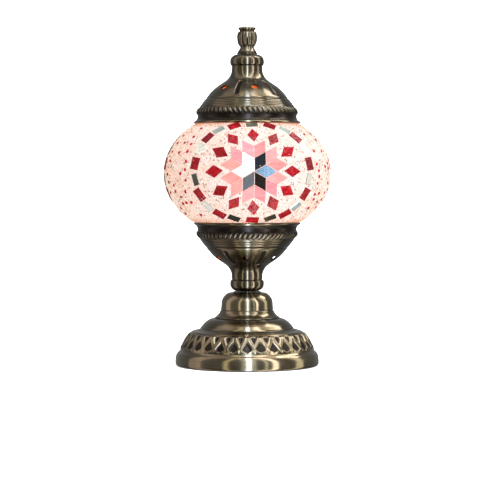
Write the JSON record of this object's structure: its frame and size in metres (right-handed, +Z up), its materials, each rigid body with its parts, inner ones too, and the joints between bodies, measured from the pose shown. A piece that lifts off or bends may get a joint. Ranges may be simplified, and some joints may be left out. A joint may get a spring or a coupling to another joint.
{
  "type": "mosaic glass table lamp",
  "caption": "Table lamp with a flattened glass globe covered in bead and tile mosaic, between domed brass caps on a stem and a round weighted foot.",
  "frame": {"origin": "on the lamp's axis, on the surface it stands on", "axes": "+Z up along the lamp's axis; the front, with a medallion nearly facing it, looks along -Y; +X is to the right seen from the front; the cord bushing is at +Y"},
  "size_m": [0.1396, 0.1396, 0.2794],
  "materials": {
    "antique_brass": "turned and stamped sheet, blackened and rubbed back",
    "dark_brass": "dark patina",
    "bright_brass": "bright",
    "zinc": "zinc plated",
    "iron": "as cast",
    "globe_glass": "clear glass, lit warm from inside",
    "beads": "granular field of small clear and white glass beads in grout",
    "tiles": "red, pink and mirror glass tiles in grout",
    "phenolic": "moulded black phenolic",
    "bulb_glass": "clear, smooth",
    "tungsten": "drawn wire",
    "felt": "black felt",
    "board": "pressed fibre board",
    "rubber": "black rubber"
  },
  "bodies": {
    "base": {"base_shell": "antique_brass", "base_weight": "iron", "base_board": "board", "felt_pad": "felt", "cord_bushing": "rubber", "stem_tube": "zinc", "lower_washer": "zinc", "lower_nut": "zinc", "stem_bell": "antique_brass", "neck_ring": "dark_brass", "lower_cup": "antique_brass", "cup_washer": "zinc", "cup_nut": "zinc", "socket_nut": "zinc", "socket_cap": "dark_brass", "socket_body": "phenolic", "socket_screw_shell": "bright_brass", "socket_contact": "bright_brass", "cup_clip_1": "zinc", "cup_clip_2": "zinc", "cup_clip_3": "zinc"},
    "globe": {"globe_glass_upper": "globe_glass", "globe_glass_lower": "globe_glass", "bead_layer": "beads", "medallion_1": "tiles", "medallion_2": "tiles", "medallion_3": "tiles"},
    "cap": {"cap_shell": "antique_brass", "cap_clip_1": "zinc", "cap_clip_2": "zinc", "cap_clip_3": "zinc", "finial_washer": "zinc", "finial_nut": "zinc", "finial_collar": "antique_brass"},
    "finial": {"finial": "antique_brass", "finial_stud": "zinc"},
    "bulb": {"bulb_glass": "bulb_glass", "bulb_stem": "bulb_glass", "bulb_filament": "tungsten", "bulb_screw_cap": "bright_brass", "bulb_insulator": "phenolic", "bulb_contact": "zinc"}
  },
  "joints": [
    {"name": "globe_lift", "type": "slide", "parent": "base", "child": "globe", "axis": [0, 0, 1], "range_m": [0, 0.09]},
    {"name": "cap_lift", "type": "slide", "parent": "globe", "child": "cap", "axis": [0, 0, 1], "range_m": [0, 0.06]},
    {"name": "finial_turn", "type": "hinge", "parent": "cap", "child": "finial", "pos_m": [0, 0, 0.2585], "axis": [0, 0, 1], "continuous": true},
    {"name": "bulb_turn", "type": "hinge", "parent": "base", "child": "bulb", "pos_m": [0, 0, 0.1215], "axis": [0, 0, 1], "continuous": true}
  ]
}
